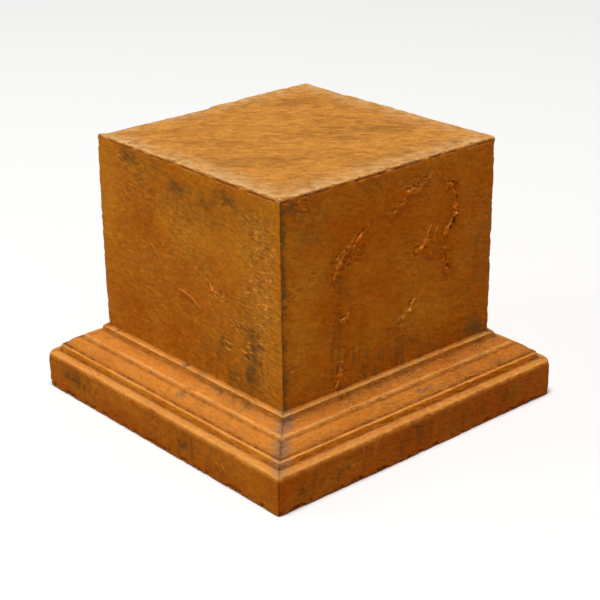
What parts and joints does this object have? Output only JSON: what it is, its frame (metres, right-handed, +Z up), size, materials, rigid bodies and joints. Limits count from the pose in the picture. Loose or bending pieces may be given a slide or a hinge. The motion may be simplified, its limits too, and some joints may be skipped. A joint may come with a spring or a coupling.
{
  "type": "pedestal",
  "caption": "Low square pedestal in rust-stained cast stone: a plain block on a moulded base and a square plinth, flat on top.",
  "frame": {"origin": "middle of the underside, at ground level", "axes": "+Z up, X and Y square to the four faces; in the picture the -Y face is on the left and the +X face on the right"},
  "size_m": [0.406, 0.406, 0.2995],
  "materials": {
    "rust_stained_stone": "matt cast stone with a mottled rust and ochre stain, rubbed lighter on top and on the mouldings and darker in the recesses"
  },
  "bodies": {
    "root": {"pedestal": "rust_stained_stone"}
  },
  "joints": []
}
